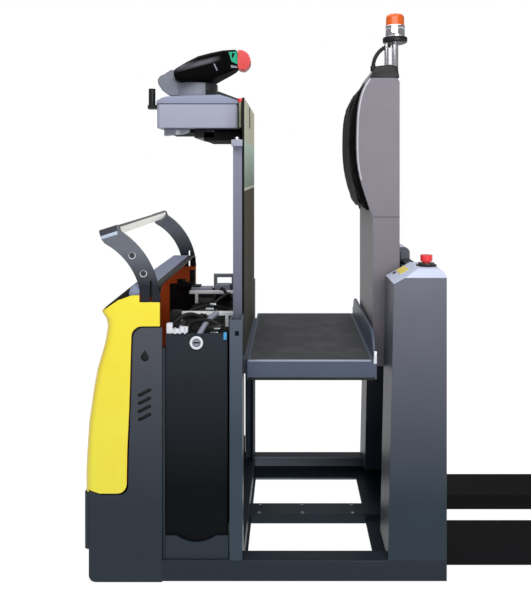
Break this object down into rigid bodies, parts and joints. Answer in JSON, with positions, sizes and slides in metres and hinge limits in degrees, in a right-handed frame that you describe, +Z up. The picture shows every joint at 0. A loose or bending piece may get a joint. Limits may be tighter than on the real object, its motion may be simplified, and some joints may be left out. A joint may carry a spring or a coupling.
{
  "type": "order picker truck",
  "caption": "Order picker truck with a lifting stand-on platform, console and tiller, battery bay, steered drive wheel, castors and low forks on load rollers.",
  "frame": {"origin": "on the floor, in the middle of the length and of the width", "axes": "+X to the fork tips, +Y to the truck's right, +Z up"},
  "size_m": [2.353, 0.8, 1.9279],
  "materials": {
    "frame_paint": "satin",
    "side_paint": "satin",
    "hood_yellow": "gloss",
    "cover_black": "satin",
    "console_grey": "satin",
    "shell_grey": "satin",
    "bright_steel": "satin",
    "battery_black": "matte",
    "lead_black": "matte",
    "fork_black": "satin",
    "mat_rubber": "matte",
    "tyre": "matte",
    "roller_amber": "satin",
    "castor_steel": "satin",
    "stop_red": "gloss",
    "tiller_black": "satin",
    "control_red": "satin",
    "cushion_cloth": "matte",
    "beacon_orange": "gloss",
    "panel_grey": "gloss",
    "cap_black": "satin",
    "tiller_grey": "satin"
  },
  "bodies": {
    "chassis": {"base_frame": "frame_paint", "side_plates": "side_paint", "front_apron": "side_paint", "hood": "hood_yellow", "hood_top_cover": "cover_black", "grab_arms": "frame_paint", "grab_bar": "bright_steel", "battery": "battery_black", "battery_panels": "side_paint", "battery_sills": "frame_paint", "battery_bars": "bright_steel", "battery_leads": "lead_black", "front_posts": "frame_paint", "rear_housings": "frame_paint", "rear_mast": "frame_paint", "emergency_stop": "stop_red"},
    "drive_unit": {"drive_turret": "fork_black"},
    "drive_wheel_body": {"drive_wheel": "tyre"},
    "castor_left": {"castor_fork_left": "castor_steel"},
    "castor_right": {"castor_fork_right": "castor_steel"},
    "castor_left_wheel": {"castor_wheel_left": "tyre"},
    "castor_right_wheel": {"castor_wheel_right": "tyre"},
    "forks": {"fork_carriage": "fork_black", "fork_left": "fork_black", "fork_right": "fork_black"},
    "arm_left": {"load_arm_left": "fork_black"},
    "arm_right": {"load_arm_right": "fork_black"},
    "roller_left": {"load_roller_left": "roller_amber"},
    "roller_right": {"load_roller_right": "roller_amber"},
    "platform": {"platform_floor": "frame_paint", "platform_mat": "mat_rubber", "front_frame": "frame_paint", "front_panel": "panel_grey", "console_box": "console_grey", "console_lid": "console_grey", "accessory_mount": "cap_black", "backrest_shell": "shell_grey", "backrest_cushion": "cushion_cloth", "backrest_cap": "cap_black", "beacon_stand": "cap_black", "beacon_dome": "beacon_orange", "lift_carriage": "frame_paint"},
    "tiller": {"tiller_base": "tiller_grey", "tiller_head": "tiller_black", "tiller_controls": "control_red"}
  },
  "joints": [
    {"name": "drive_steer", "type": "hinge", "parent": "chassis", "child": "drive_unit", "pos_m": [-1.0375, 0, 0.25], "axis": [0, 0, 1], "range_deg": [-90, 90]},
    {"name": "drive_spin", "type": "hinge", "parent": "drive_unit", "child": "drive_wheel_body", "pos_m": [-1.0375, 0, 0.1], "axis": [0, 1, 0], "continuous": true},
    {"name": "castor_left_swivel", "type": "hinge", "parent": "chassis", "child": "castor_left", "pos_m": [-1.0375, -0.27, 0.2], "axis": [0, 0, 1], "continuous": true},
    {"name": "castor_left_spin", "type": "hinge", "parent": "castor_left", "child": "castor_left_wheel", "pos_m": [-1.0075, -0.27, 0.0625], "axis": [0, 1, 0], "continuous": true},
    {"name": "castor_right_swivel", "type": "hinge", "parent": "chassis", "child": "castor_right", "pos_m": [-1.0375, 0.27, 0.2], "axis": [0, 0, 1], "continuous": true},
    {"name": "castor_right_spin", "type": "hinge", "parent": "castor_right", "child": "castor_right_wheel", "pos_m": [-1.0075, 0.27, 0.0625], "axis": [0, 1, 0], "continuous": true},
    {"name": "fork_lift", "type": "slide", "parent": "chassis", "child": "forks", "axis": [0, 0, 1], "range_m": [0, 0.12]},
    {"name": "arm_left_swing", "type": "hinge", "parent": "forks", "child": "arm_left", "pos_m": [0.8465, -0.18, 0.056], "axis": [0, 1, 0], "range_deg": [0, 45]},
    {"name": "arm_right_swing", "type": "hinge", "parent": "forks", "child": "arm_right", "pos_m": [0.8465, 0.18, 0.056], "axis": [0, 1, 0], "range_deg": [0, 45]},
    {"name": "roller_left_spin", "type": "hinge", "parent": "arm_left", "child": "roller_left", "pos_m": [1.0265, -0.18, 0.037], "axis": [0, 1, 0], "continuous": true},
    {"name": "roller_right_spin", "type": "hinge", "parent": "arm_right", "child": "roller_right", "pos_m": [1.0265, 0.18, 0.037], "axis": [0, 1, 0], "continuous": true},
    {"name": "platform_lift", "type": "slide", "parent": "chassis", "child": "platform", "axis": [0, 0, 1], "range_m": [-0.48, 0.2]},
    {"name": "tiller_steer", "type": "hinge", "parent": "platform", "child": "tiller", "pos_m": [-0.8725, 0, 1.65], "axis": [0, 0, 1], "range_deg": [-90, 90]}
  ],
  "couplings": [
    {"joint": "arm_left_swing", "follows": "fork_lift", "rad_per_m": 6.41},
    {"joint": "arm_right_swing", "follows": "fork_lift", "rad_per_m": 6.41}
  ]
}
